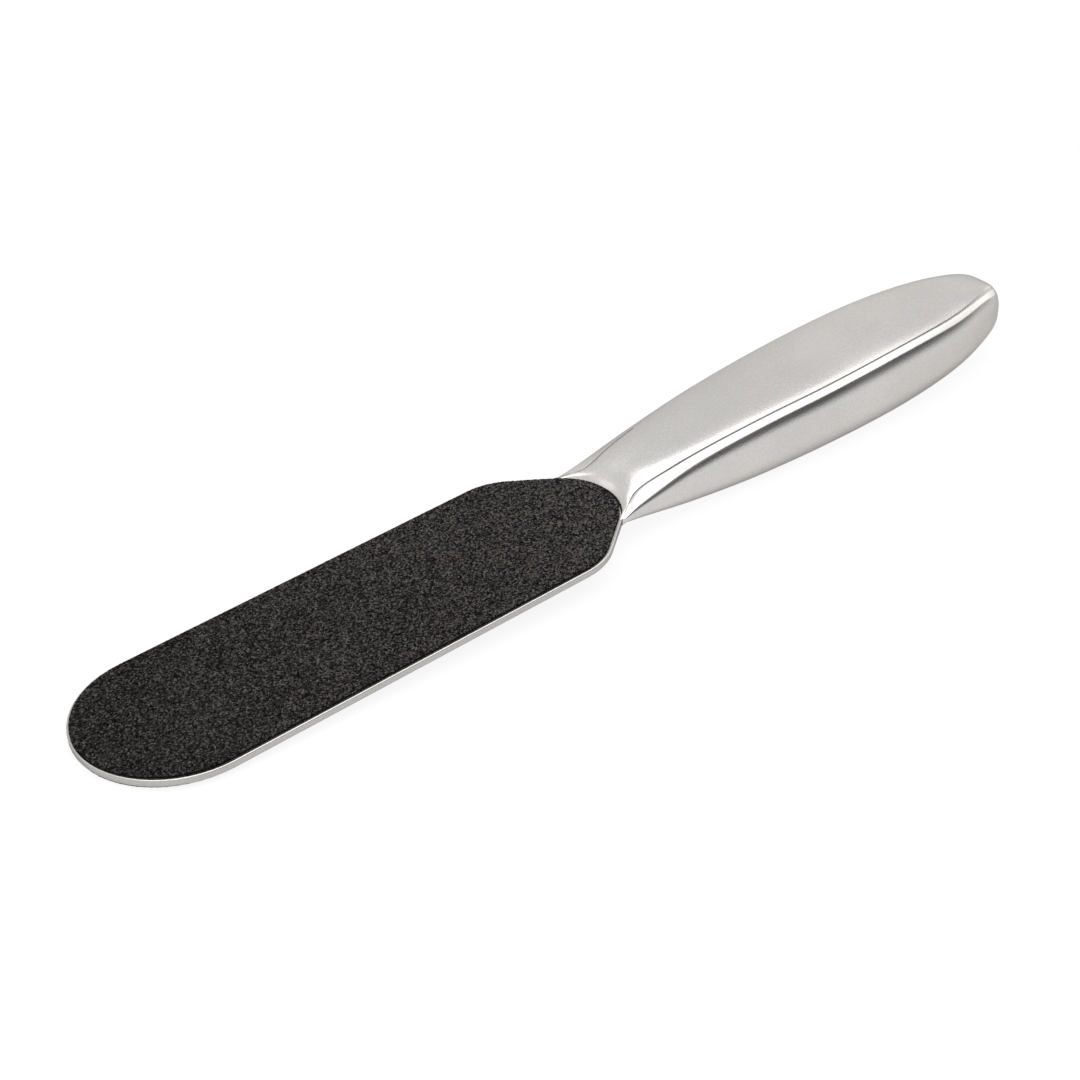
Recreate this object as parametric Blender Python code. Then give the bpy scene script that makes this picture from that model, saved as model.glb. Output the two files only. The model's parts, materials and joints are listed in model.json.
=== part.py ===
"""Pedicure file: a flat steel paddle with an abrasive pad on each face, and a hollow steel handle.

It is built level, with its length along +X from the rounded nose to the butt of the handle and the
middle plane of the steel at Z = 0. It is then laid down as it rests on a table, on the belly of the
handle and the nose of the paddle, with the origin under the middle of its box. Metres, +Z up.
"""

import math

import bmesh
import bpy
from mathutils import Matrix, Vector

MM = 0.001

# Abrasive pad, seen from above
PAD_LENGTH = 123.7 * MM
PAD_WIDTH = 36.5 * MM
NOSE_LENGTH = 19.5 * MM
TAPER_START = 107.5 * MM
SHOULDER_RADIUS = 14.2 * MM
PAD_NECK_WIDTH = 19.0 * MM
REAR_BOW = 4.5 * MM

# Abrasive pad, layer by layer from the steel outwards
ADHESIVE_THICKNESS = 0.06 * MM
BACKING_THICKNESS = 0.14 * MM
GRIT_THICKNESS = 0.13 * MM
BOND_GAP = 0.04 * MM
LAYER_INSET = 0.15 * MM

# Steel plate of the paddle, and its tang
PLATE_THICKNESS = 1.5 * MM
PLATE_MARGIN = 0.65 * MM
NOSE_MARGIN = 0.35 * MM
TANG_WIDTH = 12.0 * MM
TANG_LENGTH = 44.0 * MM
TANG_CORNER_RADIUS = 3.0 * MM
ANCHOR_HOLE_DIAMETER = 4.5 * MM
ANCHOR_HOLE_PITCH = 16.0 * MM
ANCHOR_HOLE_END_DISTANCE = 8.0 * MM

# Hollow handle
HANDLE_LENGTH = 120.7 * MM
HANDLE_WIDTH = 23.6 * MM
HANDLE_HEIGHT = 15.4 * MM
FACE_CROWN = 0.7 * MM
NECK_CROWN = 2.2 * MM
BUTT_CROWN = 0.45 * MM
SIDE_BULGE = 1.6 * MM
BAND_WIDTH = 1.65 * MM
NECK_BAND_WIDTH = 5.4 * MM
BAND_SLOPE = math.radians(40)
WALL = 0.9 * MM
BUTT_WALL = 1.6 * MM
LIP_THICKNESS = 0.4 * MM
SEAM_GAP = 0.1 * MM

# Resin bedding that locks the tang in the handle
BEDDING_START = 9.0 * MM
BEDDING_LENGTH = 42.0 * MM

# Clearance between neighbours, and how far a cutter runs past what it cuts
FIT_GAP = 0.3 * MM
OVERRUN = 2.0 * MM

# Handle stations: place along the handle, width between the creases, height between the faces'
# edges. A place p lies at 1 - (1 - p) ** 2 of the handle's length, so the places crowd where the
# butt rounds off.
STATION_SHARES = (
    (0.000, 0.860, 0.188),
    (0.018, 0.812, 0.425),
    (0.040, 0.804, 0.578),
    (0.090, 0.822, 0.765),
    (0.170, 0.904, 0.909),
    (0.280, 0.985, 0.965),
    (0.420, 0.980, 0.993),
    (0.570, 0.872, 0.925),
    (0.720, 0.637, 0.837),
    (0.860, 0.422, 0.633),
    (0.940, 0.213, 0.326),
    (1.000, 0.000, 0.000),
)
BUTT_SHARE = 0.97
FRONT_SPACING_SHARE = 0.45
BAND_RISE_SHARE = 0.46
BAND_TAPER_SHARE = 0.18
RISE_BLEND = 3
MOUTH_BLEND = 8
NECK_BLEND = 22
BAND_BLEND = 30
CORNER_BLEND = 150
BUTT_BLEND = 3
BOW_BLEND = 3
SIDE_BULGE_POWER = 3
CROWN_POWER = 4
NECK_CROWN_POWER = 2.3
CROWN_BLEND = 4

# Values worked out from the ones above
PAD_HALF_WIDTH = PAD_WIDTH / 2
PAD_NECK_HALF_WIDTH = PAD_NECK_WIDTH / 2
NECK_X = PAD_LENGTH - REAR_BOW
PLATE_TOP = PLATE_THICKNESS / 2
MOUTH_HALF_HEIGHT = PLATE_TOP + FIT_GAP
TANG_END = NECK_X + TANG_LENGTH
REAR_RADIUS = (PAD_NECK_HALF_WIDTH**2 + REAR_BOW**2) / (2 * REAR_BOW)
REAR_CENTRE_X = PAD_LENGTH - REAR_RADIUS
NECK_HALF_WIDTH = PAD_NECK_HALF_WIDTH + PLATE_MARGIN
MOUTH_RADIUS = REAR_RADIUS + PLATE_MARGIN + FIT_GAP
LIP_HALF_HEIGHT = MOUTH_HALF_HEIGHT + LIP_THICKNESS

NOSE_SEGMENTS = 28
SHOULDER_SEGMENTS = 6
REAR_SEGMENTS = 12
HOLE_SEGMENTS = 20
OUTER_DETAIL = {"rings": 38, "side": 5, "face": 5}
INNER_DETAIL = {"rings": 18, "side": 3, "face": 3}
LAY_DOWN_ROUNDS = 4


def clear_scene():
    for thing in list(bpy.data.objects):
        bpy.data.objects.remove(thing, do_unlink=True)


def principled(name, colour, roughness, metallic=0.0):
    material = bpy.data.materials.new(name)
    material.use_nodes = True
    shader = material.node_tree.nodes["Principled BSDF"]
    shader.inputs["Base Color"].default_value = (*colour, 1.0)
    shader.inputs["Roughness"].default_value = roughness
    shader.inputs["Metallic"].default_value = metallic
    material.diffuse_color = (*colour, 1.0)
    return material


def finish(name, bm, material):
    """Turns the mesh outwards, shades its round stretches smooth and makes it an object."""
    bmesh.ops.recalc_face_normals(bm, faces=bm.faces)
    mesh = bpy.data.meshes.new(name)
    bm.to_mesh(mesh)
    bm.free()
    mesh.shade_smooth()
    mesh.set_sharp_from_angle(angle=math.radians(30))
    mesh.materials.append(material)
    thing = bpy.data.objects.new(name, mesh)
    bpy.context.scene.collection.objects.link(thing)
    return thing


def cut(thing, cutter):
    """Takes the cutter's shape out of the piece."""
    cutter.hide_render = True
    cutter.display_type = "WIRE"
    boolean = thing.modifiers.new(cutter.name, "BOOLEAN")
    boolean.operation = "DIFFERENCE"
    boolean.solver = "EXACT"
    boolean.object = cutter


def arc(centre, radius, start, end, segments):
    """Points of an arc in plan. Angles run from +Y towards +X."""
    points = []
    for step in range(segments + 1):
        angle = start + (end - start) * step / segments
        points.append((centre[0] + radius * math.sin(angle), centre[1] + radius * math.cos(angle)))
    return points


def mirrored(half):
    """A closed outline from its half above the X axis. Points on the axis aren't doubled."""
    return half + [(x, -y) for x, y in reversed(half) if y > 0]


def paddle_side(grow, nose_grow):
    """Half outline from the nose to the neck, grown outside the pad's outline and past its nose."""
    half_width = PAD_HALF_WIDTH + grow
    nose = []
    for step in range(NOSE_SEGMENTS // 2 + 1):
        angle = math.pi / 2 * step / (NOSE_SEGMENTS // 2)
        across = half_width * math.sin(angle)
        nose.append((NOSE_LENGTH - (NOSE_LENGTH + nose_grow) * math.cos(angle), across))
    slope = math.atan2(PAD_HALF_WIDTH - PAD_NECK_HALF_WIDTH, NECK_X - TAPER_START)
    centre_x = TAPER_START - SHOULDER_RADIUS * math.tan(slope / 2)
    centre = (centre_x, PAD_HALF_WIDTH - SHOULDER_RADIUS)
    shoulder = arc(centre, SHOULDER_RADIUS + grow, 0.0, slope, SHOULDER_SEGMENTS)
    return nose + shoulder


def pad_outline(grow):
    """The pad's whole outline: nose, sides, tapered shoulders and bowed rear end."""
    radius = REAR_RADIUS + grow
    start = math.acos((PAD_NECK_HALF_WIDTH + grow) / radius)
    rear = arc((REAR_CENTRE_X, 0.0), radius, start, math.pi / 2, REAR_SEGMENTS // 2)
    rear[-1] = (rear[-1][0], 0.0)
    return mirrored(paddle_side(grow, grow) + rear)


def plate_outline():
    """The plate's outline: the pad's with a margin, then the bowed shoulder and the tang."""
    half = paddle_side(PLATE_MARGIN, NOSE_MARGIN)
    tang = TANG_WIDTH / 2
    radius = REAR_RADIUS + PLATE_MARGIN
    start = math.acos(NECK_HALF_WIDTH / radius)
    end = math.acos(tang / radius)
    half += arc((REAR_CENTRE_X, 0.0), radius, start, end, REAR_SEGMENTS // 3)
    corner = (TANG_END - TANG_CORNER_RADIUS, tang - TANG_CORNER_RADIUS)
    half += arc(corner, TANG_CORNER_RADIUS, 0.0, math.pi / 2, SHOULDER_SEGMENTS)
    return mirrored(half)


def slab(name, outline, low, high, material, holes=()):
    """A flat sheet cut to an outline, with round holes of (x, radius) on the middle line."""
    bm = bmesh.new()
    loops = [outline]
    for x, radius in holes:
        loops.append(arc((x, 0.0), radius, 0.0, 2 * math.pi, HOLE_SEGMENTS)[:-1])
    edges = []
    for loop in loops:
        ring = [bm.verts.new((x, y, low)) for x, y in loop]
        edges += [bm.edges.new((a, b)) for a, b in zip(ring, ring[1:] + ring[:1])]
    bmesh.ops.triangle_fill(bm, edges=edges, use_beauty=True)
    raised = bmesh.ops.extrude_face_region(bm, geom=list(bm.faces))
    moved = [part for part in raised["geom"] if isinstance(part, bmesh.types.BMVert)]
    bmesh.ops.translate(bm, verts=moved, vec=(0.0, 0.0, high - low))
    return finish(name, bm, material)


def anchor_holes(shrink):
    """Places and radii of the tang's two holes, on the middle line."""
    last = TANG_END - ANCHOR_HOLE_END_DISTANCE
    radius = ANCHOR_HOLE_DIAMETER / 2 - shrink
    return [(last - ANCHOR_HOLE_PITCH, radius), (last, radius)]


def share_at(place, column):
    """A column of the handle's stations at any place, on a smooth curve through them."""
    places = [row[0] for row in STATION_SHARES]
    values = [row[column] for row in STATION_SHARES]
    last = len(places) - 1
    slopes = []
    for i in range(last + 1):
        before, after = max(i - 1, 0), min(i + 1, last)
        slopes.append((values[after] - values[before]) / (places[after] - places[before]))
    i = max(k for k in range(last) if places[k] <= place)
    span = places[i + 1] - places[i]
    t = (place - places[i]) / span
    rise = (3 - 2 * t) * t * t
    leave = t * (1 - t) ** 2 * span * slopes[i]
    arrive = t * t * (1 - t) * span * slopes[i + 1]
    return values[i] + (values[i + 1] - values[i]) * rise + leave - arrive


def section_size(place):
    """Half width and half height at a place. At the mouth they meet the neck and the lip."""
    width = HANDLE_WIDTH / 2 * share_at(place, 1)
    height = HANDLE_HEIGHT / 2 * share_at(place, 2)
    near_mouth = (1 - place) ** MOUTH_BLEND
    width += near_mouth * (NECK_HALF_WIDTH - HANDLE_WIDTH / 2 * share_at(0.0, 1))
    height += near_mouth * (LIP_HALF_HEIGHT - HANDLE_HEIGHT / 2 * share_at(0.0, 2))
    return width, height


def handle_x(place):
    return NECK_X + HANDLE_LENGTH * (1 - (1 - place) ** 2)


def place_of(x):
    return 1 - math.sqrt(1 - (x - NECK_X) / HANDLE_LENGTH)


def arch(place, inset, detail):
    """Upper half of the handle's section, seam to seam, at a depth inset under the outer skin.

    A crowned face lies between two sloping bands, and a bulged side hangs below the crease that each
    band ends in. Each point is (x, y, z). At the mouth the arch bows along X, a margin behind the
    pad's rear end, and the bow fades out along the handle. It is nowhere lower than the mouth.
    """
    half_width, half_height = section_size(place)
    fullness = half_height / (HANDLE_HEIGHT / 2)
    width = half_width - inset
    height = max(half_height - inset, MOUTH_HALF_HEIGHT)
    near_neck = (1 - place) ** NECK_BLEND
    band = BAND_WIDTH + (1 - place) ** BAND_BLEND * (NECK_BAND_WIDTH - BAND_WIDTH)
    band *= min((1 - place) / BAND_TAPER_SHARE, 1) * (1 - (1 - place) ** CORNER_BLEND)
    rise = band * math.sin(BAND_SLOPE)
    rise /= (1 + (rise / (BAND_RISE_SHARE * height)) ** RISE_BLEND) ** (1 / RISE_BLEND)
    flat = width - band * math.cos(BAND_SLOPE)
    crown = FACE_CROWN + near_neck * (NECK_CROWN - FACE_CROWN)
    crown += place**BUTT_BLEND * (BUTT_CROWN - FACE_CROWN)
    crown *= 1 - (1 - fullness) ** CROWN_BLEND
    power = CROWN_POWER + near_neck * (NECK_CROWN_POWER - CROWN_POWER)
    quarter = []
    for step in range(detail["side"] + 1):
        up = math.sin(math.pi / 2 * step / detail["side"])
        y = width + SIDE_BULGE * fullness * (1 - up**SIDE_BULGE_POWER)
        quarter.append((y, up * (height - rise)))
    for step in range(detail["face"] + 1):
        y = flat * (1 - step / detail["face"])
        quarter.append((y, height + crown * (1 - (y / flat) ** power)))
    half = quarter + [(-y, z) for y, z in reversed(quarter[:-1])]
    squeeze = NECK_HALF_WIDTH / half_width
    centre_x = REAR_CENTRE_X - NECK_X
    points = []
    for y, z in half:
        ahead = centre_x + math.sqrt(MOUTH_RADIUS**2 - (y * squeeze) ** 2)
        points.append((handle_x(place) + ahead * (1 - place) ** BOW_BLEND, y, z))
    return points


def half_body(name, arches, side, floor, material):
    """A solid under a row of arches, closed by a flat floor. side is 1 above Z = 0, -1 below.

    A floor above the seam cuts the arches off there. One past it is reached by upright walls.
    """
    bm = bmesh.new()
    tops = []
    floors = []
    for points in arches:
        tops.append([bm.verts.new((x, y, side * max(z, floor))) for x, y, z in points])
        inner = points[1:-1] if floor >= 0 else points
        row = [bm.verts.new((x, y, side * floor)) for x, y, z in inner]
        floors.append([tops[-1][0], *row, tops[-1][-1]] if floor >= 0 else row)
    for sheet in (tops, floors):
        for near, far in zip(sheet, sheet[1:]):
            for j in range(len(near) - 1):
                bm.faces.new((near[j], near[j + 1], far[j + 1], far[j]))
    for top, low in ((tops[0], floors[0]), (tops[-1], floors[-1])):
        for j in range(len(top) - 1):
            corners = dict.fromkeys((top[j], top[j + 1], low[j + 1], low[j]))
            bm.faces.new(corners)
    if floor < 0:
        for j in (0, -1):
            for i in range(len(tops) - 1):
                bm.faces.new((tops[i][j], tops[i + 1][j], floors[i + 1][j], floors[i][j]))
    return finish(name, bm, material)


def spaced(detail, last):
    """Ring places from the neck to a last one, closer together where the handle rises."""
    steps = [i / detail["rings"] for i in range(detail["rings"] + 1)]
    return [last * s * (FRONT_SPACING_SHARE + (1 - FRONT_SPACING_SHARE) * s) for s in steps]


def handle_shell(name, side, material):
    """One pressed half of the handle, open at the middle plane and at the mouth."""
    arches = [arch(place, 0.0, OUTER_DETAIL) for place in spaced(OUTER_DETAIL, BUTT_SHARE)]
    shell = half_body(name, arches, side, SEAM_GAP / 2, material)
    last = place_of(NECK_X + HANDLE_LENGTH - BUTT_WALL)
    hollow = [arch(place, WALL, INNER_DETAIL) for place in spaced(INNER_DETAIL, last)]
    mouth = [(x - OVERRUN, y, z) for x, y, z in hollow[0]]
    cavity = half_body(name + "_cavity", [mouth, *hollow], side, -OVERRUN, material)
    cut(shell, cavity)
    return shell, cavity


def tang_bedding(material):
    """Cast block round the tang, with a pin of the same resin through each anchor hole."""
    inset = WALL + FIT_GAP
    start = place_of(NECK_X + BEDDING_START)
    end = place_of(NECK_X + BEDDING_START + BEDDING_LENGTH)
    steps = INNER_DETAIL["rings"] // 2
    bm = bmesh.new()
    rings = []
    for step in range(steps + 1):
        upper = arch(start + (end - start) * step / steps, inset, INNER_DETAIL)
        lower = [(x, y, -z) for x, y, z in reversed(upper[1:-1])]
        rings.append([bm.verts.new(point) for point in upper + lower])
    for near, far in zip(rings, rings[1:]):
        for j in range(len(near)):
            k = (j + 1) % len(near)
            bm.faces.new((near[j], near[k], far[k], far[j]))
    count = len(rings[0])
    for ring in (rings[0], rings[-1]):
        for j in range(count // 2):
            corners = (ring[j], ring[j + 1], ring[count - j - 1], ring[-j])
            bm.faces.new(dict.fromkeys(corners))
    bedding = finish("tang_bedding", bm, material)
    tang = TANG_WIDTH / 2 + FIT_GAP
    slot = [(NECK_X, -tang), (NECK_X, tang), (TANG_END + FIT_GAP, tang), (TANG_END + FIT_GAP, -tang)]
    pins = anchor_holes(FIT_GAP)
    slot_cutter = slab("tang_slot", slot, -MOUTH_HALF_HEIGHT, MOUTH_HALF_HEIGHT, material, pins)
    cut(bedding, slot_cutter)
    return bedding, slot_cutter


def abrasive_pad(prefix, side, layers):
    """The three layers of one stick-on pad, from the steel outwards, one object each."""
    made = []
    low = PLATE_TOP + BOND_GAP
    for name, thickness, grow, material in layers:
        heights = sorted((side * low, side * (low + thickness)))
        made.append(slab(f"{prefix}_{name}", pad_outline(grow), *heights, material))
        low += thickness + BOND_GAP
    return made


def lowest(points, tilt):
    """The point nearest the table once the file is tipped nose down by tilt."""
    return min(points, key=lambda point: point.x * math.sin(tilt) + point.z * math.cos(tilt))


def lay_down(pieces):
    """Tips the file on to its nose and belly, and puts the origin under the middle of its box."""
    graph = bpy.context.evaluated_depsgraph_get()
    corners = []
    for piece in pieces:
        corners += [point.co.copy() for point in piece.evaluated_get(graph).data.vertices]
    paddle = [point for point in corners if point.x < NECK_X]
    handle = [point for point in corners if point.x > NECK_X]
    tilt = 0.0
    for _ in range(LAY_DOWN_ROUNDS):
        nose, belly = lowest(paddle, tilt), lowest(handle, tilt)
        tilt = math.atan2(nose.z - belly.z, belly.x - nose.x)
    turn = Matrix.Rotation(-tilt, 4, "Y")
    turned = [turn @ point for point in corners]
    xs, ys, zs = ([point[axis] for point in turned] for axis in range(3))
    middle = Vector(((min(xs) + max(xs)) / 2, (min(ys) + max(ys)) / 2, min(zs)))
    rest = bpy.data.objects.new("resting_pose", None)
    bpy.context.scene.collection.objects.link(rest)
    rest.matrix_world = Matrix.Translation(-middle) @ turn
    return rest


def build():
    clear_scene()
    plate_steel = principled("plate_steel", (0.62, 0.61, 0.59), 0.32, 1.0)
    handle_steel = principled("handle_steel", (0.66, 0.65, 0.63), 0.26, 1.0)
    coarse_grit = principled("coarse_grit", (0.030, 0.029, 0.028), 0.90)
    fine_grit = principled("fine_grit", (0.036, 0.034, 0.033), 0.85)
    backing = principled("backing_paper", (0.045, 0.038, 0.033), 0.80)
    adhesive = principled("adhesive_film", (0.55, 0.52, 0.45), 0.45)
    resin = principled("bedding_resin", (0.42, 0.40, 0.36), 0.60)

    outline = plate_outline()
    plate = slab("file_plate", outline, -PLATE_TOP, PLATE_TOP, plate_steel, anchor_holes(0.0))
    upper, upper_cavity = handle_shell("upper_handle_shell", 1, handle_steel)
    lower, lower_cavity = handle_shell("lower_handle_shell", -1, handle_steel)
    bedding, tang_slot = tang_bedding(resin)
    pieces = [plate, upper, lower, bedding]
    for prefix, side, grit in (("coarse_pad", 1, coarse_grit), ("fine_pad", -1, fine_grit)):
        layers = (
            ("adhesive_film", ADHESIVE_THICKNESS, -LAYER_INSET, adhesive),
            ("backing", BACKING_THICKNESS, 0.0, backing),
            ("grit", GRIT_THICKNESS, 0.0, grit),
        )
        pieces += abrasive_pad(prefix, side, layers)
    rest = lay_down(pieces)
    for thing in [*pieces, upper_cavity, lower_cavity, tang_slot]:
        thing.parent = rest


build()
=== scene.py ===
import json
import math
import random

import bmesh
import bpy
from mathutils import Matrix, Quaternion, Vector


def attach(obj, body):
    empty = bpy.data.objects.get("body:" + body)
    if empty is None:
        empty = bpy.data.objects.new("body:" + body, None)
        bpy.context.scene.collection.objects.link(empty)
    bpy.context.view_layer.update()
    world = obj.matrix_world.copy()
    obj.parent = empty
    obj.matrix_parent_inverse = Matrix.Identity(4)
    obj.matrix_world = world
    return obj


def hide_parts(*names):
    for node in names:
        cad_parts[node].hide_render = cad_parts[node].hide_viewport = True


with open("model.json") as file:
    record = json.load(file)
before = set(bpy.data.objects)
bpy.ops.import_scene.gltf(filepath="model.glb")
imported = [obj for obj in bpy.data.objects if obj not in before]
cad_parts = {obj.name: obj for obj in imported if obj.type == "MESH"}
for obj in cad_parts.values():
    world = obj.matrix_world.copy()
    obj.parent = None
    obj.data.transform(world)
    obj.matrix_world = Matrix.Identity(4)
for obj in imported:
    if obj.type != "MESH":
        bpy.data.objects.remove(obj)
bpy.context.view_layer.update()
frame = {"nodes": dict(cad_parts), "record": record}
bpy.context.scene.view_settings.view_transform = "Standard"

# The file lies on its nose and on the belly of its handle, so its faces lean a few degrees. The bench
# is its own level frame: X runs from the pad's tip along the file, and Z up from the steel's middle.
MM = 0.001
mounts = {mount["name"]: mount for mount in frame["record"]["mounts"]}
lean = Vector((0, 0, 1)).rotation_difference(Vector(mounts["coarse_face"]["axis"]))
bench = lean.to_matrix().to_4x4()


def bench_box(node):
    """Lowest and highest corner of a CAD node, measured along the bench's axes."""
    to_bench = bench.inverted()
    points = [to_bench @ corner.co for corner in frame["nodes"][node].data.vertices]
    low = Vector([min(point[axis] for point in points) for axis in range(3)])
    high = Vector([max(point[axis] for point in points) for axis in range(3)])
    return low, high


plate_low, plate_high = bench_box("file_plate")
pad_low = bench_box("coarse_pad_grit")[0]
steel_middle = (plate_low.z + plate_high.z) / 2
bench = bench @ Matrix.Translation((pad_low.x, 0, steel_middle))

# The camera looks down over the nose at the near side of the file, as in the photograph. Its place
# comes from the pixel of the 1080 x 1080 frame that the middle of the upper pad lands on.
FRAME_PIXELS = 1080
FOCAL_PIXELS = 2509.3
SENSOR_WIDTH = 36.0
CAMERA_YAW = math.radians(50.431)
CAMERA_PITCH = math.radians(35.027)
CAMERA_ROLL = math.radians(-2.1)
CAMERA_DISTANCE = 475.32 * MM
AIM_FROM_TIP = 62.0 * MM
AIM_PIXEL = (361.8, 613.0)
CAMERA_CLIP = 10 * MM

look = Vector((math.cos(CAMERA_YAW), math.sin(CAMERA_YAW), -math.tan(CAMERA_PITCH)))
turn = look.to_track_quat("-Z", "Y") @ Quaternion((0, 0, 1), CAMERA_ROLL)
aim = Vector((AIM_FROM_TIP, 0, bench_box("coarse_pad_grit")[1].z))
across = (AIM_PIXEL[0] - FRAME_PIXELS / 2) / FOCAL_PIXELS
down = (AIM_PIXEL[1] - FRAME_PIXELS / 2) / FOCAL_PIXELS
place = aim - turn @ (CAMERA_DISTANCE * Vector((across, -down, -1)))
camera_data = bpy.data.cameras.new("camera")
camera_data.sensor_width = SENSOR_WIDTH
camera_data.lens = FOCAL_PIXELS / FRAME_PIXELS * SENSOR_WIDTH
camera_data.clip_start = CAMERA_CLIP
camera = bpy.data.objects.new("camera", camera_data)
bpy.context.scene.collection.objects.link(camera)
camera.matrix_world = bench @ Matrix.LocRotScale(place, turn, None)
bpy.context.scene.camera = camera

# A wide softbox hangs over the file, a little to the camera's side, and a white room fills in all
# round. Polished steel also shows the dim gap of the room that lies low behind the camera, and the
# brighter windows round it.
SOFTBOX_WIDTH = 1.9
SOFTBOX_DEPTH = 1.3
SOFTBOX_PLACE = (0.25, -0.2, 1.1)
SOFTBOX_GLOW = 1.65
ROOM_FILL = 0.32
ROOM_GAP_SIDE = Vector((0.545, -0.838, 0.0))
ROOM_GAP_DEPTH = 0.88
ROOM_GAP_WIDTH = (0.5, 0.86)
ROOM_GAP_FOOT = (-0.05, 0.27)
ROOM_GAP_HEAD = (0.5, 0.64)
WINDOW_EDGE = (0.94, 0.985)
ROOM_WINDOWS = (
    (Vector((0.976, 0.085, 0.2)), 0.75),
    (Vector((0.836, -0.224, 0.5)), 1.0),
    (Vector((-0.679, 0.611, 0.407)), 0.4),
    (Vector((0.031, 0.291, 0.956)), 0.7),
    (Vector((0.811, 0.547, 0.208)), 0.22),
)

softbox_data = bpy.data.lights.new("softbox", "AREA")
softbox_data.shape = "RECTANGLE"
softbox_data.size = SOFTBOX_WIDTH
softbox_data.size_y = SOFTBOX_DEPTH
softbox_data.energy = SOFTBOX_GLOW * math.pi * SOFTBOX_WIDTH * SOFTBOX_DEPTH
softbox = bpy.data.objects.new("softbox", softbox_data)
bpy.context.scene.collection.objects.link(softbox)
softbox.location = SOFTBOX_PLACE


class Wire:
    """An output of a shader node, with the arithmetic that the finishes are written in."""

    def __init__(self, mixer, output):
        self.mixer = mixer
        self.output = output

    def twin(self, name):
        """Another output of the same node."""
        return Wire(self.mixer, self.output.node.outputs[name])

    def maths(self, operation, *values):
        return self.mixer.node("ShaderNodeMath", {"operation": operation}, dict(enumerate(values)))

    def most(self, value):
        return self.maths("MAXIMUM", self, value)

    def power(self, value):
        return self.maths("POWER", self, value)

    def above(self, start, end):
        """0 below start and 1 past end, with a soft step between them."""
        settings = {"interpolation_type": "SMOOTHSTEP"}
        return self.mixer.node("ShaderNodeMapRange", settings, {0: self, 1: start, 2: end})

    def __add__(self, value):
        return self.maths("ADD", self, value)

    __radd__ = __add__

    def __sub__(self, value):
        return self.maths("SUBTRACT", self, value)

    def __rsub__(self, value):
        return self.maths("SUBTRACT", value, self)

    def __mul__(self, value):
        return self.maths("MULTIPLY", self, value)

    __rmul__ = __mul__


class Mixer:
    """The node tree of a finish, with the one method that adds a node to it."""

    def __init__(self, tree):
        self.tree = tree
        tree.nodes.clear()

    def node(self, kind, settings, sockets, output=0):
        """Adds a node: its settings first, then a value or a wire for each of its sockets."""
        made = self.tree.nodes.new(kind)
        for name, value in settings.items():
            setattr(made, name, value)
        for name, value in sockets.items():
            if isinstance(value, Wire):
                self.tree.links.new(value.output, made.inputs[name])
            else:
                made.inputs[name].default_value = value
        return Wire(self, made.outputs[output]) if made.outputs else made

    def blend(self, factor, first, second):
        """Mixes two colours."""
        sockets = {0: factor, 6: first, 7: second}
        return self.node("ShaderNodeMix", {"data_type": "RGBA"}, sockets, output=2)


room = bpy.data.worlds.new("room")
bpy.context.scene.world = room
room.use_nodes = True
mixer = Mixer(room.node_tree)
ray = mixer.node("ShaderNodeLightPath", {}, {})
shown = ray.twin("Is Camera Ray").most(ray.twin("Is Transmission Ray"))
shown = shown.most(ray.twin("Is Glossy Ray"))
heading = mixer.node("ShaderNodeTexCoord", {}, {})
height = mixer.node("ShaderNodeSeparateXYZ", {}, {0: heading}).twin("Z")
settings = {"operation": "DOT_PRODUCT"}
facing = mixer.node("ShaderNodeVectorMath", settings, {0: heading, 1: ROOM_GAP_SIDE}, output=1)
gap = facing.above(*ROOM_GAP_WIDTH) * height.above(*ROOM_GAP_FOOT)
gap = gap * (1 - height.above(*ROOM_GAP_HEAD))
extra = -ROOM_GAP_DEPTH * gap
for side, glow in ROOM_WINDOWS:
    window = mixer.node("ShaderNodeVectorMath", settings, {0: heading, 1: side}, output=1)
    extra = extra + glow * window.above(*WINDOW_EDGE)
bright = 1 + ray.twin("Is Glossy Ray") * extra
strength = shown * bright + (1 - shown) * ROOM_FILL
background = mixer.node("ShaderNodeBackground", {}, {"Color": (1, 1, 1, 1), "Strength": strength})
mixer.node("ShaderNodeOutputWorld", {}, {"Surface": background})

# The floor is a white sheet, bright enough to join the white room, with the file's own soft shadow.
# The steel mirrors it with a glow and a shade of their own.
FLOOR_SIZE = 4.0
FLOOR_GLOW = 0.9
FLOOR_SHADE = 0.13
FLOOR_PAINT = 0.8
MIRRORED_GLOW = 0.35
MIRRORED_SHADE = 0.75

bm = bmesh.new()
bmesh.ops.create_grid(bm, x_segments=1, y_segments=1, size=FLOOR_SIZE)
floor_mesh = bpy.data.meshes.new("floor")
bm.to_mesh(floor_mesh)
bm.free()
floor = bpy.data.objects.new("floor", floor_mesh)
bpy.context.scene.collection.objects.link(floor)
paper = bpy.data.materials.new("floor_paper")
paper.use_nodes = True
mixer = Mixer(paper.node_tree)
ray = mixer.node("ShaderNodeLightPath", {}, {})
direct = ray.twin("Is Camera Ray").most(ray.twin("Is Transmission Ray"))
mirrored = ray.twin("Is Glossy Ray") * (1 - direct)
unseen = 1 - direct - mirrored
shade = direct * FLOOR_SHADE + mirrored * MIRRORED_SHADE + unseen * FLOOR_PAINT
shade = mixer.node("ShaderNodeCombineColor", {}, {"Red": shade, "Green": shade, "Blue": shade})
shaded = mixer.node("ShaderNodeBsdfDiffuse", {}, {"Color": shade})
glow = mixer.node(
    "ShaderNodeEmission", {}, {"Strength": direct * FLOOR_GLOW + mirrored * MIRRORED_GLOW}
)
surface = mixer.node("ShaderNodeAddShader", {}, {0: shaded, 1: glow})
mixer.node("ShaderNodeOutputMaterial", {}, {"Surface": surface})
floor_mesh.materials.append(paper)

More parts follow.
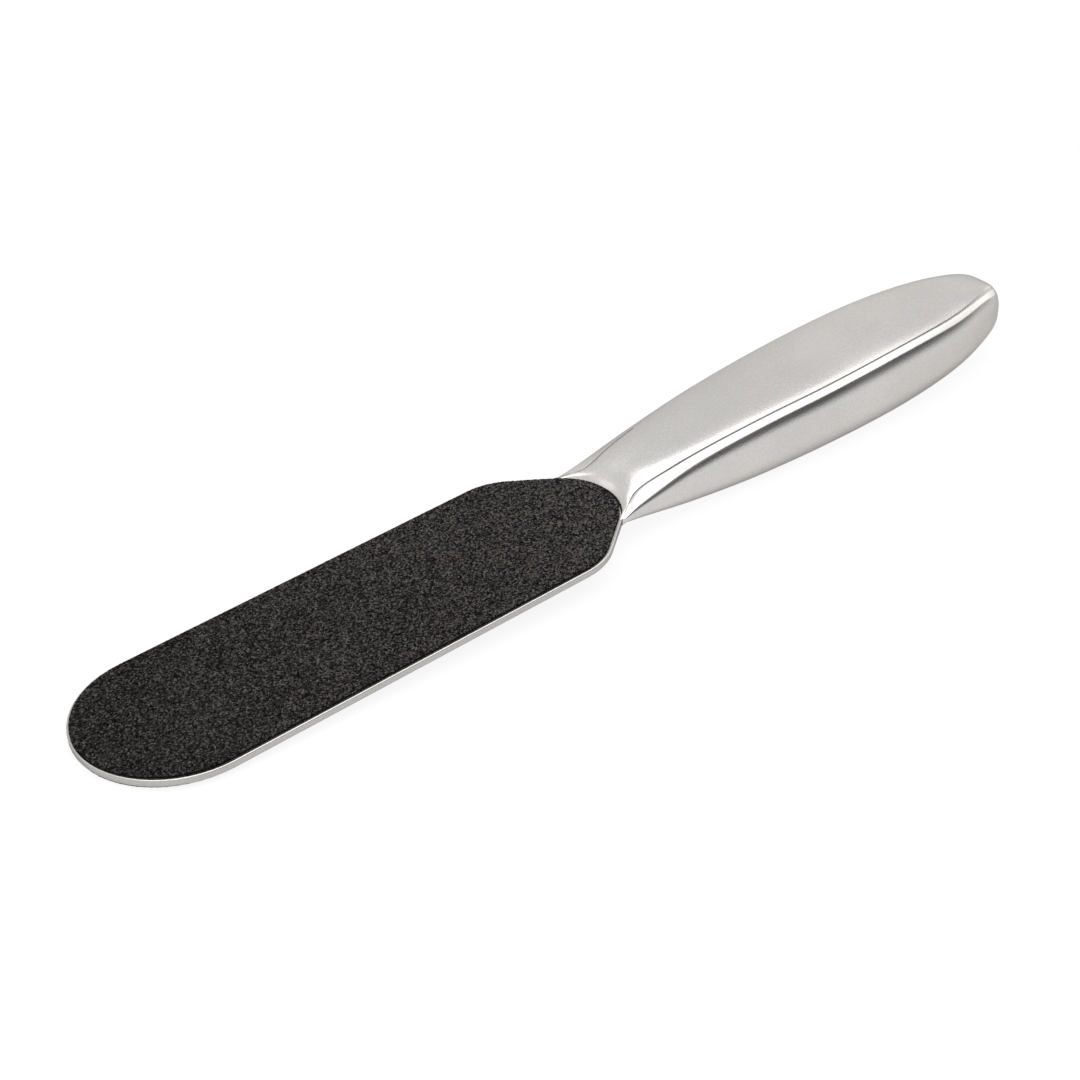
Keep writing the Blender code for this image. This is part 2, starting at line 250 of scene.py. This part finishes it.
# The file's plate is one stamped sheet of stainless steel: paddle, neck and tang. Its arrises are
# broken on a belt, so a thin bright line runs round both faces, and the sheet has a satin polish.
PLATE_TONE = (0.468, 0.455, 0.437)
PLATE_ROUGHNESS = 0.27
ARRIS = 0.24 * MM
ARRIS_SEGMENTS = 4
ARRIS_ANGLE = math.radians(60)
FLAT_ANGLE = math.radians(1)
FLAT_NORMAL = 0.99
PLATE_LINES = 0.5
MERGE = 0.001 * MM
CLOUD_SCALE = 45.0
CLOUD_EDGE = (0.3, 0.7)
CLOUD_ROUGHNESS = 0.12
STROKE_SCALE = 3200.0
STROKE_STRETCH = (0.02, 1, 1)
STROKE_ROUGHNESS = 0.08
STEEL_GRAIN_SCALE = 2600.0
STEEL_GRAIN_HEIGHT = 10
STEEL_GRAIN_CONTRAST = 1.5
STEEL_RELIEF = 0.004 * MM
STEEL_SPREAD = 0.05
STEEL_TINT = (0.6, 0.59, 0.57, 1)
EDGE_ON = (0.35, 0.55)


def finish_mesh(name, bm, material, slot, *nodes):
    """Makes the piece from its bmesh on the bench and puts it where the CAD nodes it stands for are."""
    bmesh.ops.transform(bm, matrix=bench, verts=bm.verts)
    bmesh.ops.recalc_face_normals(bm, faces=bm.faces)
    mesh = bpy.data.meshes.new(name)
    bm.to_mesh(mesh)
    bm.free()
    mesh.materials.append(material)
    piece = bpy.data.objects.new(name, mesh)
    bpy.context.scene.collection.objects.link(piece)
    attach(piece, "root")
    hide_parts(*nodes)
    return piece


def new_finish(name):
    """A material with a bare node tree, and the piece's place on the bench as its pattern's vector."""
    material = bpy.data.materials.new(name)
    material.use_nodes = True
    mixer = Mixer(material.node_tree)
    place = mixer.node("ShaderNodeTexCoord", {}, {}).twin("Object")
    to_bench = bench.inverted()
    sockets = {
        "Vector": place,
        "Location": to_bench.to_translation(),
        "Rotation": to_bench.to_euler(),
    }
    return material, mixer, mixer.node("ShaderNodeMapping", {}, sockets)


def noise(mixer, vector, scale, stretch=(1, 1, 1), detail=2.0):
    """Soft random values about 0.5, in specks of 1 / scale metres, drawn out where stretch is small."""
    drawn = mixer.node("ShaderNodeVectorMath", {"operation": "MULTIPLY"}, {0: vector, 1: stretch})
    return mixer.node("ShaderNodeTexNoise", {}, {"Vector": drawn, "Scale": scale, "Detail": detail})


def satin_steel(name, tone, roughness, lines, *marks):
    """Stainless steel with polishing lines along the file and a slightly cloudy sheen.

    Each mark is the name of a vertex attribute, and the colour painted where it is 1: for the handle,
    the pressed line's dull steel and painted shade. A mark is not seen where the steel is seen nearly
    edge on.
    """
    material, mixer, vector = new_finish(name)
    cloud = noise(mixer, vector, CLOUD_SCALE, detail=3.0)
    strokes = noise(mixer, vector, STROKE_SCALE, stretch=STROKE_STRETCH)
    grain = noise(mixer, vector, STEEL_GRAIN_SCALE)
    light = tuple((1 + STEEL_SPREAD) * part for part in tone) + (1,)
    dark = tuple((1 - STEEL_SPREAD) * part for part in tone) + (1,)
    relief = strokes + grain * STEEL_GRAIN_HEIGHT
    bump = mixer.node(
        "ShaderNodeBump", {}, {"Strength": lines, "Distance": STEEL_RELIEF, "Height": relief}
    )
    mottle = cloud + (grain - 0.5) * STEEL_GRAIN_CONTRAST
    sheen = mixer.blend(mottle.above(*CLOUD_EDGE), dark, light)
    edge_on = mixer.node("ShaderNodeLayerWeight", {}, {}).twin("Facing").above(*EDGE_ON)
    # Marks paint their colour over the steel's: the pressed line's dull steel and painted shade.
    for mark, colour in marks:
        amount = mixer.node("ShaderNodeAttribute", {"attribute_name": mark}, {}).twin("Fac")
        sheen = mixer.blend(amount * (1 - edge_on), sheen, colour)
    sockets = {
        "Base Color": sheen,
        "Metallic": 1.0,
        "Specular Tint": STEEL_TINT,
        "Roughness": roughness
        + (cloud - 0.5) * CLOUD_ROUGHNESS
        + (strokes - 0.5) * STROKE_ROUGHNESS,
        "Normal": bump,
    }
    surface = mixer.node("ShaderNodeBsdfPrincipled", {}, sockets)
    mixer.node("ShaderNodeOutputMaterial", {}, {"Surface": surface})
    return material


bm = bmesh.new()
bm.from_mesh(frame["nodes"]["file_plate"].data)
bmesh.ops.transform(bm, matrix=bench.inverted(), verts=bm.verts)
bmesh.ops.remove_doubles(bm, verts=bm.verts, dist=MERGE)
bmesh.ops.dissolve_limit(
    bm, angle_limit=FLAT_ANGLE, verts=bm.verts, edges=bm.edges, delimit=set()
)
arrises = [edge for edge in bm.edges if edge.calc_face_angle() > ARRIS_ANGLE]
arrises = [edge for edge in arrises if abs((edge.verts[0].co - edge.verts[1].co).z) < MERGE]
bmesh.ops.bevel(
    bm,
    geom=arrises,
    offset=ARRIS,
    offset_type="OFFSET",
    segments=ARRIS_SEGMENTS,
    profile=0.5,
    affect="EDGES",
    clamp_overlap=True,
    material=-1,
)
for face in bm.faces:
    face.smooth = abs(face.normal.z) < FLAT_NORMAL
plate_finish = satin_steel("plate_satin", PLATE_TONE, PLATE_ROUGHNESS, PLATE_LINES)
finish_mesh("steel_plate", bm, plate_finish, "plate_steel", "file_plate")

# The handle is two stamped halves of stainless sheet, welded along the middle and polished until the
# seam is gone. A pressed line and a sharp crease bound the sloping band on each side of its faces.
HANDLE_TONE = (0.577, 0.56, 0.54)
HANDLE_ROUGHNESS = 0.23
HANDLE_LINES = 0.4
HANDLE_START = 119.2 * MM
HANDLE_LENGTH = 120.59 * MM
HANDLE_HALF_WIDTH = 11.8 * MM
HANDLE_HALF_HEIGHT = 7.69 * MM
FACE_CROWN = 0.7 * MM
NECK_CROWN = 2.2 * MM
BUTT_CROWN = 0.45 * MM
SIDE_BULGE = 1.6 * MM
BAND_WIDTH = 1.65 * MM
NECK_BAND_WIDTH = 5.4 * MM
BAND_SLOPE = math.radians(40)
LINE_WIDTH = 0.46 * MM
LINE_DEPTH = 0.2 * MM
LINE_DULL_AND_SHADE = (0.11, 0.105, 0.1, 1)
CREASE_SOFTNESS = 0.16 * MM
WALL = 0.9 * MM
LIP_HEIGHT = 0.95 * MM
MOUTH_HEIGHT = 0.77 * MM
MOUTH_BEVEL = 0.03 * MM
MOUTH_RISE = 0.6 * MM
BEAD_WIDTH = 0.9 * MM
BEAD_HEIGHT = 0.05 * MM
MOUTH_HALF_WIDTH = 10.15 * MM
MOUTH_RADIUS = 13.228 * MM
MOUTH_OVERLAP = 0.6 * MM
MOUTH_CLOSING = 0.36 * MM
PAD_LENGTH = 123.7 * MM
PLATE_MARGIN = 0.65 * MM
MOUTH_GAP = 0.3 * MM
SECTION_SHARES = (
    (0.000, 0.860, 0.188),
    (0.018, 0.812, 0.425),
    (0.040, 0.804, 0.578),
    (0.090, 0.822, 0.765),
    (0.170, 0.904, 0.909),
    (0.280, 0.985, 0.965),
    (0.420, 0.980, 0.993),
    (0.570, 0.872, 0.925),
    (0.720, 0.637, 0.837),
    (0.860, 0.422, 0.633),
    (0.940, 0.213, 0.326),
    (1.000, 0.000, 0.000),
)
MOUTH_BLEND = 8
NECK_BLEND = 22
BAND_BLEND = 30
BOW_BLEND = 3
BUTT_BLEND = 3
CORNER_BLEND = 150
BAND_TAPER_SHARE = 0.18
BAND_RISE_SHARE = 0.46
RISE_BLEND = 3
FLAT_SHARE = 0.1
CROWN_BLEND = 4
SIDE_BULGE_POWER = 3
CROWN_POWER = 4
NECK_POWER_DROP = 1.7
SOFT_SHARE = 0.25
LINE_SHARE = 0.5
INNER_LINE_SHARE = 0.25
MARK_CORNER = 2
NECK_MARK_RISE = 1.5
MOUTH_REACH = 1.02
SMALLEST = MERGE / 8
RING_EASE = 0.25
CREASE_ANGLE = math.radians(60)
OUTER_RINGS = 96
INNER_RINGS = 24
SIDE_POINTS = 12
FACE_POINTS = 14
BAND_POINTS = 3
CORNER_POINTS = 4


def share_at(place, column):
    """Width or height share of the handle's section at a place, on a smooth curve."""
    places = [row[0] for row in SECTION_SHARES]
    values = [row[column] for row in SECTION_SHARES]
    last = len(places) - 1
    slopes = []
    for i in range(last + 1):
        before, after = max(i - 1, 0), min(i + 1, last)
        slopes.append((values[after] - values[before]) / (places[after] - places[before]))
    i = max(k for k in range(last) if places[k] <= place)
    span = places[i + 1] - places[i]
    t = (place - places[i]) / span
    rise = (3 - 2 * t) * t * t
    leave = t * (1 - t) ** 2 * span * slopes[i]
    arrive = t * t * (1 - t) * span * slopes[i + 1]
    return values[i] + (values[i + 1] - values[i]) * rise + leave - arrive


def soft_corner(start, corner, end):
    """Points round a corner, from a little before it to a little past it."""
    points = []
    for step in range(CORNER_POINTS + 1):
        t = step / CORNER_POINTS
        points.append((1 - t) ** 2 * start + 2 * t * (1 - t) * corner + t * t * end)
    return points


def handle_ring(place, inset):
    """One closed ring of the handle's wall, at an inset under its skin.

    The fourth number of each point is how much of the pressed line's dull steel and painted shade it
    gets: largest at the bottom of the line and 0 outside it.
    """
    along = HANDLE_LENGTH * (1 - (1 - place) ** 2)
    near_mouth = (1 - place) ** MOUTH_BLEND
    half_width = HANDLE_HALF_WIDTH * share_at(place, 1)
    half_width += near_mouth * (MOUTH_HALF_WIDTH - HANDLE_HALF_WIDTH * share_at(0.0, 1))
    half_height = HANDLE_HALF_HEIGHT * share_at(place, 2)
    half_height += near_mouth * (LIP_HEIGHT - HANDLE_HALF_HEIGHT * share_at(0.0, 2))
    t = min(along / MOUTH_RISE, 1)
    low = 1 - (3 - 2 * t) * t * t
    half_height -= low * (LIP_HEIGHT - MOUTH_HEIGHT - MOUTH_BEVEL)
    half_width, half_height = max(half_width, SMALLEST), max(half_height, SMALLEST)
    fullness = half_height / HANDLE_HALF_HEIGHT
    height = max(half_height - inset, min(MOUTH_HEIGHT, half_height))
    width = half_width - min(inset, half_width / 2)
    near_neck = (1 - place) ** NECK_BLEND
    band = BAND_WIDTH + (1 - place) ** BAND_BLEND * (NECK_BAND_WIDTH - BAND_WIDTH)
    band *= min((1 - place) / BAND_TAPER_SHARE, 1) * (1 - (1 - place) ** CORNER_BLEND)
    rise = band * math.sin(BAND_SLOPE)
    rise /= (1 + (rise / (BAND_RISE_SHARE * height)) ** RISE_BLEND) ** (1 / RISE_BLEND)
    flat = max(width - band * math.cos(BAND_SLOPE), FLAT_SHARE * width)
    crown = FACE_CROWN + near_neck * (NECK_CROWN - FACE_CROWN)
    crown += place**BUTT_BLEND * (BUTT_CROWN - FACE_CROWN)
    crown *= (1 - (1 - fullness) ** CROWN_BLEND) * (1 - low)
    power = CROWN_POWER - NECK_POWER_DROP * near_neck
    bead = math.sin(math.pi * min(along / BEAD_WIDTH, 1)) ** 2 * BEAD_HEIGHT if inset == 0 else 0
    slope = Vector((width - flat, -rise, 0)).normalized()
    band = (Vector((width, -rise)) - Vector((flat, 0))).length
    soft = min(CREASE_SOFTNESS, SOFT_SHARE * band)
    line = min(LINE_WIDTH, LINE_SHARE * band) if inset == 0 else INNER_LINE_SHARE * band
    depth = LINE_DEPTH * line / LINE_WIDTH * (1 - near_neck) if inset == 0 else 0.0

    def side(up):
        bulge = SIDE_BULGE * fullness * (1 - up**SIDE_BULGE_POWER)
        return Vector((width + bulge, up * (height - rise), 0))

    def face(y):
        return Vector((y, height + crown * (1 - (y / flat) ** power) + bead, 0))

    top_up = 1 - soft / max(height - rise, soft * 2)
    crease, edge = Vector((width, height - rise, 0)), Vector((flat, height + bead, 0))
    quarter = [side(top_up * step / SIDE_POINTS) for step in range(SIDE_POINTS)]
    quarter += soft_corner(side(top_up), crease, crease - slope * soft)
    low_edge = edge + slope * line / 2
    for step in range(1, BAND_POINTS):
        quarter.append((crease - slope * soft).lerp(low_edge, step / BAND_POINTS))
    bottom = edge - Vector((-slope.y, slope.x, 0)) * 2 * depth
    # The line's bottom carries its dull steel and painted shade, more of both near the neck.
    bottom.z = MARK_CORNER + NECK_MARK_RISE * near_neck
    quarter += soft_corner(low_edge, bottom, face(flat - line / 2))
    for step in range(1, FACE_POINTS + 1):
        quarter.append(face((flat - line / 2) * (1 - step / FACE_POINTS)))
    upper = quarter + [Vector((-p.x, p.y, p.z)) for p in reversed(quarter[:-1])]
    ring = upper + [Vector((p.x, -p.y, p.z)) for p in reversed(upper[1:-1])]
    squeeze = MOUTH_HALF_WIDTH / half_width
    centre_x = PAD_LENGTH + PLATE_MARGIN + MOUTH_GAP - MOUTH_RADIUS - HANDLE_START
    points = []
    for y, z, pressed in ring:
        across = min(abs(y) * squeeze, MOUTH_HALF_WIDTH * MOUTH_REACH)
        ahead = centre_x + math.sqrt(MOUTH_RADIUS**2 - across**2)
        over = max(0, min((abs(z) - MOUTH_HEIGHT) / MOUTH_BEVEL + 1, 1))
        shift = MOUTH_CLOSING + MOUTH_OVERLAP * over
        x = HANDLE_START + along + ahead * (1 - place) ** BOW_BLEND - low * shift
        points.append(Vector((x, y, z, pressed)))
    return points


def pull_ring(bm, pressed, ring, points):
    """Extrudes the wall's last ring and lays the new one on the given points."""
    edges = [bm.edges.get(pair) for pair in zip(ring, ring[1:] + ring[:1])]
    made = set(bmesh.ops.extrude_edge_only(bm, edges=edges)["geom"])
    pulled = []
    for vert, point in zip(ring, points):
        ends = [edge.other_vert(vert) for edge in vert.link_edges]
        pulled.append(next(end for end in ends if end in made))
        pulled[-1].co = point.xyz
        pulled[-1][pressed] = point.w
    return pulled


def spaced(count):
    """Ring places from the mouth to the butt, closer together where the handle rises."""
    ease = RING_EASE
    return [step / count * (ease + (1 - ease) * step / count) for step in range(count + 1)]


inner = [handle_ring(place, WALL) for place in spaced(INNER_RINGS)[:-2]]
outer = [handle_ring(place, 0.0) for place in spaced(OUTER_RINGS)]
bm = bmesh.new()
pressed = bm.verts.layers.float.new("pressed_line")
ring = bmesh.ops.create_circle(bm, segments=len(inner[0]), radius=HANDLE_HALF_WIDTH)["verts"]
for vert, point in zip(ring, inner[-1]):
    vert.co = point.xyz
bmesh.ops.contextual_create(bm, geom=ring)
for points in inner[-2::-1] + outer:
    ring = pull_ring(bm, pressed, ring, points)
bmesh.ops.remove_doubles(bm, verts=bm.verts, dist=MERGE)
for face in bm.faces:
    face.smooth = True
# The pressed line is darkened in colour: partly its dull unpolished bottom and partly painted shade.
dull_and_shaded_line = ("pressed_line", LINE_DULL_AND_SHADE)
handle_finish = satin_steel("handle_satin", HANDLE_TONE, HANDLE_ROUGHNESS, HANDLE_LINES, dull_and_shaded_line)
skin = finish_mesh(
    "handle_skin", bm, handle_finish, "handle_steel", "upper_handle_shell", "lower_handle_shell"
)
skin.data.set_sharp_from_angle(angle=CREASE_ANGLE)

# The upper pad is a stick-on sheet: silicon carbide grains glued to black latex paper, on a film of
# pressure sensitive adhesive. The grains stand close, each with its own height and tilt, and a few
# carry a painted glint.
GRAIN = 0.25 * MM
COARSE_RELIEF = 0.125 * MM
COARSE_SPECKS = 3100.0
GRAIN_JITTER = 0.38
GRAIN_HEIGHT_POWER = 1.4
RIM_PARTS = 3
COARSE_DARK = (0.002, 0.0016, 0.0012)
COARSE_PALE = (0.127, 0.116, 0.108)
COARSE_PAINTED_GLINT = (0.2, 0.19, 0.18)
PAINTED_GLINT_EDGE = (0.93, 0.97)
TINT_POWER = 2.0
LOW_GREY = 0.1
RAISED_GREY = 1.15
PAINTED_TIP_SHADE = 0.72
PAINTED_LIGHT_PER_METRE = 4.8
BROAD_SCALE = 60.0
BROAD_GREY = 0.1
FINE_RATIO = 1.7
GRIT_HOLLOW = -0.7
GRIT_RELIEF = 0.08 * MM
GRIT_BUMP = 0.8
GRIT_ROUGHNESS = 0.85
GRIT_GLOSS = 0.4
GRIT_SHINE = 0.02
MOTTLE_EDGE = (0.3, 0.7)
MOTTLE_BUMP = 0.5
MOTTLE_ROUGHNESS = 0.15
PAPER_TONE = (0.006, 0.005, 0.0045)
FILM_TONE = (0.55, 0.52, 0.45)
COARSE_SEED = 7


def grain_sheet(node, side, relief, seed):
    """The abrasive coat: a net of grains cut to the pad's outline, with closed sides and back."""
    low, high = bench_box(node)
    corners = {}
    for corner in frame["nodes"][node].data.vertices:
        point = bench.inverted() @ corner.co
        if (point.z - (low.z + high.z) / 2) * side > 0:
            corners[(round(point.x / MERGE), round(point.y / MERGE))] = Vector((point.x, point.y))
    middle = Vector(((low.x + high.x) / 2, 0))
    outline = sorted(corners.values(), key=lambda p: math.atan2(p.y - middle.y, p.x - middle.x))
    upper = sorted((p for p in outline if p.y > -MERGE), key=lambda p: p.x)

    def half_width(x):
        for a, b in zip(upper, upper[1:]):
            if a.x <= x <= b.x:
                return a.y + (b.y - a.y) * (x - a.x) / max(b.x - a.x, MERGE)
        return -GRAIN

    def on_outline(point):
        best = None
        for a, b in zip(outline, outline[1:] + outline[:1]):
            t = max(0.0, min(1.0, (point - a).dot(b - a) / max((b - a).length_squared, MERGE**2)))
            near = a.lerp(b, t)
            if best is None or (near - point).length < (best - point).length:
                best = near
        return best

    columns = round((high.x - low.x) / GRAIN)
    rows = round((high.y - low.y) / GRAIN)
    bm = bmesh.new()
    raised = bm.verts.layers.float.new("raised")
    bmesh.ops.create_grid(bm, x_segments=columns, y_segments=rows, size=0.5)
    bmesh.ops.scale(bm, vec=(high.x - low.x, high.y - low.y, 1), verts=bm.verts)
    bmesh.ops.translate(bm, vec=(middle.x, 0, 0), verts=bm.verts)
    widths = {}
    inside = set()
    for vert in bm.verts:
        column = round(vert.co.x / MERGE)
        if column not in widths:
            widths[column] = half_width(vert.co.x)
        if abs(vert.co.y) < widths[column] - GRAIN / RIM_PARTS:
            inside.add(vert)
    outside = [face for face in bm.faces if not any(vert in inside for vert in face.verts)]
    bmesh.ops.delete(bm, geom=outside, context="FACES")
    dice = random.Random(seed)
    top = high.z if side > 0 else low.z
    back = low.z if side > 0 else high.z
    for vert in bm.verts:
        height = relief * dice.random() ** GRAIN_HEIGHT_POWER
        shift = Vector((dice.random() - 0.5, dice.random() - 0.5)) * 2 * GRAIN_JITTER * GRAIN
        if vert in inside:
            vert.co.xy += shift if not vert.is_boundary else Vector((0, 0))
        else:
            vert.co.xy = on_outline(vert.co.xy)
        vert.co.z = top - side * height
        # How high each grain stands. The finish paints low grains and the rim darker: partly the black
        # binder, partly painted shade.
        vert[raised] = 1 - height / relief if vert in inside else 0.0
    rim = [edge for edge in bm.edges if edge.is_boundary]
    made = bmesh.ops.extrude_edge_only(bm, edges=rim)["geom"]
    for part in made:
        if isinstance(part, bmesh.types.BMVert):
            part.co.z = back
            part[raised] = 0.0
    bmesh.ops.remove_doubles(bm, verts=bm.verts, dist=MERGE)
    bmesh.ops.holes_fill(bm, edges=[edge for edge in bm.edges if edge.is_boundary], sides=0)
    return bm


def grit_finish(name, specks, dark, pale, glint):
    """Black abrasive: each grain has its own grey, its own gloss and a rough broken face, and a few
    carry a painted glint.

    High grains are paler than low ones and the rims are darkest: partly the black binder and partly
    painted shade. The whole sheet grows paler toward the handle, which is painted light.
    """
    material, mixer, vector = new_finish(name)
    grain = mixer.node("ShaderNodeTexVoronoi", {}, {"Vector": vector, "Scale": specks})
    tint = mixer.node("ShaderNodeSeparateColor", {}, {0: grain.twin("Color")})
    broad = noise(mixer, vector, BROAD_SCALE)
    fine = noise(mixer, vector, specks * FINE_RATIO)
    raised = mixer.node("ShaderNodeAttribute", {"attribute_name": "raised"}, {}).twin("Fac")
    along = mixer.node("ShaderNodeSeparateXYZ", {}, {0: vector})
    # Low grains and rims are darker: partly the black binder, partly painted shade.
    grey = tint.power(TINT_POWER) * (LOW_GREY + RAISED_GREY * raised)
    # Painted light: darker at the tip, paler toward the handle.
    grey = grey * (PAINTED_TIP_SHADE + PAINTED_LIGHT_PER_METRE * along)
    grey = grey + (broad - 0.5) * BROAD_GREY
    colour = mixer.blend(grey, (*dark, 1), (*pale, 1))
    # A few grains get a painted glint in their colour.
    colour = mixer.blend(tint.twin("Green").above(*PAINTED_GLINT_EDGE) * fine, colour, (*glint, 1))
    relief = grain.twin("Distance") * GRIT_HOLLOW + fine
    bump = mixer.node(
        "ShaderNodeBump", {}, {"Strength": GRIT_BUMP, "Distance": GRIT_RELIEF, "Height": relief}
    )
    sockets = {
        "Base Color": colour,
        "Roughness": GRIT_ROUGHNESS - tint.twin("Blue") * GRIT_GLOSS,
        "Specular IOR Level": GRIT_SHINE,
        "Normal": bump,
    }
    surface = mixer.node("ShaderNodeBsdfPrincipled", {}, sockets)
    mixer.node("ShaderNodeOutputMaterial", {}, {"Surface": surface})
    return material


def plain_finish(name, tone, spread, roughness, specks, bump_height, shine=0.5):
    """An even, slightly mottled finish for paper, film and resin."""
    material, mixer, vector = new_finish(name)
    mottle = noise(mixer, vector, specks, detail=4.0)
    light = tuple((1 + spread) * part for part in tone) + (1,)
    dark = tuple((1 - spread) * part for part in tone) + (1,)
    bump = mixer.node(
        "ShaderNodeBump", {}, {"Strength": MOTTLE_BUMP, "Distance": bump_height, "Height": mottle}
    )
    sockets = {
        "Base Color": mixer.blend(mottle.above(*MOTTLE_EDGE), dark, light),
        "Roughness": roughness + (mottle - 0.5) * MOTTLE_ROUGHNESS,
        "Specular IOR Level": shine,
        "Normal": bump,
    }
    surface = mixer.node("ShaderNodeBsdfPrincipled", {}, sockets)
    mixer.node("ShaderNodeOutputMaterial", {}, {"Surface": surface})
    return material


def dress(node, material):
    """Gives a CAD node that keeps its shape its finish."""
    mesh = frame["nodes"][node].data
    mesh.materials.clear()
    mesh.materials.append(material)


coarse = grit_finish("coarse_grains", COARSE_SPECKS, COARSE_DARK, COARSE_PALE, COARSE_PAINTED_GLINT)
bm = grain_sheet("coarse_pad_grit", 1, COARSE_RELIEF, COARSE_SEED)
finish_mesh("coarse_grains", bm, coarse, "coarse_grit", "coarse_pad_grit")
backing = plain_finish(
    "latex_paper",
    PAPER_TONE,
    spread=0.2,
    roughness=0.8,
    specks=2500.0,
    bump_height=0.01 * MM,
    shine=0.02,
)
film = plain_finish(
    "adhesive", FILM_TONE, spread=0.05, roughness=0.45, specks=900.0, bump_height=0.005 * MM
)
dress("coarse_pad_backing", backing)
dress("coarse_pad_adhesive_film", film)

# The lower pad is the same sheet in a finer grade, for finishing. It is stuck to the underside,
# which the photograph does not show.
FINE_RELIEF = 0.07 * MM
FINE_SPECKS = 5600.0
FINE_DARK = (0.012, 0.012, 0.012)
FINE_PALE = (0.045, 0.043, 0.041)
FINE_PAINTED_GLINT = (0.15, 0.14, 0.13)
FINE_SEED = 11

fine = grit_finish("fine_grains", FINE_SPECKS, FINE_DARK, FINE_PALE, FINE_PAINTED_GLINT)
bm = grain_sheet("fine_pad_grit", -1, FINE_RELIEF, FINE_SEED)
finish_mesh("fine_grains", bm, fine, "fine_grit", "fine_pad_grit")
dress("fine_pad_backing", backing)
dress("fine_pad_adhesive_film", film)

# Cast resin fills the handle round the tang and locks it through its two holes. It is not seen, so
# it keeps the plain form of its solid.
RESIN_TONE = (0.42, 0.4, 0.36)

resin = plain_finish(
    "cast_resin", RESIN_TONE, spread=0.08, roughness=0.6, specks=300.0, bump_height=0.05 * MM
)
dress("tang_bedding", resin)
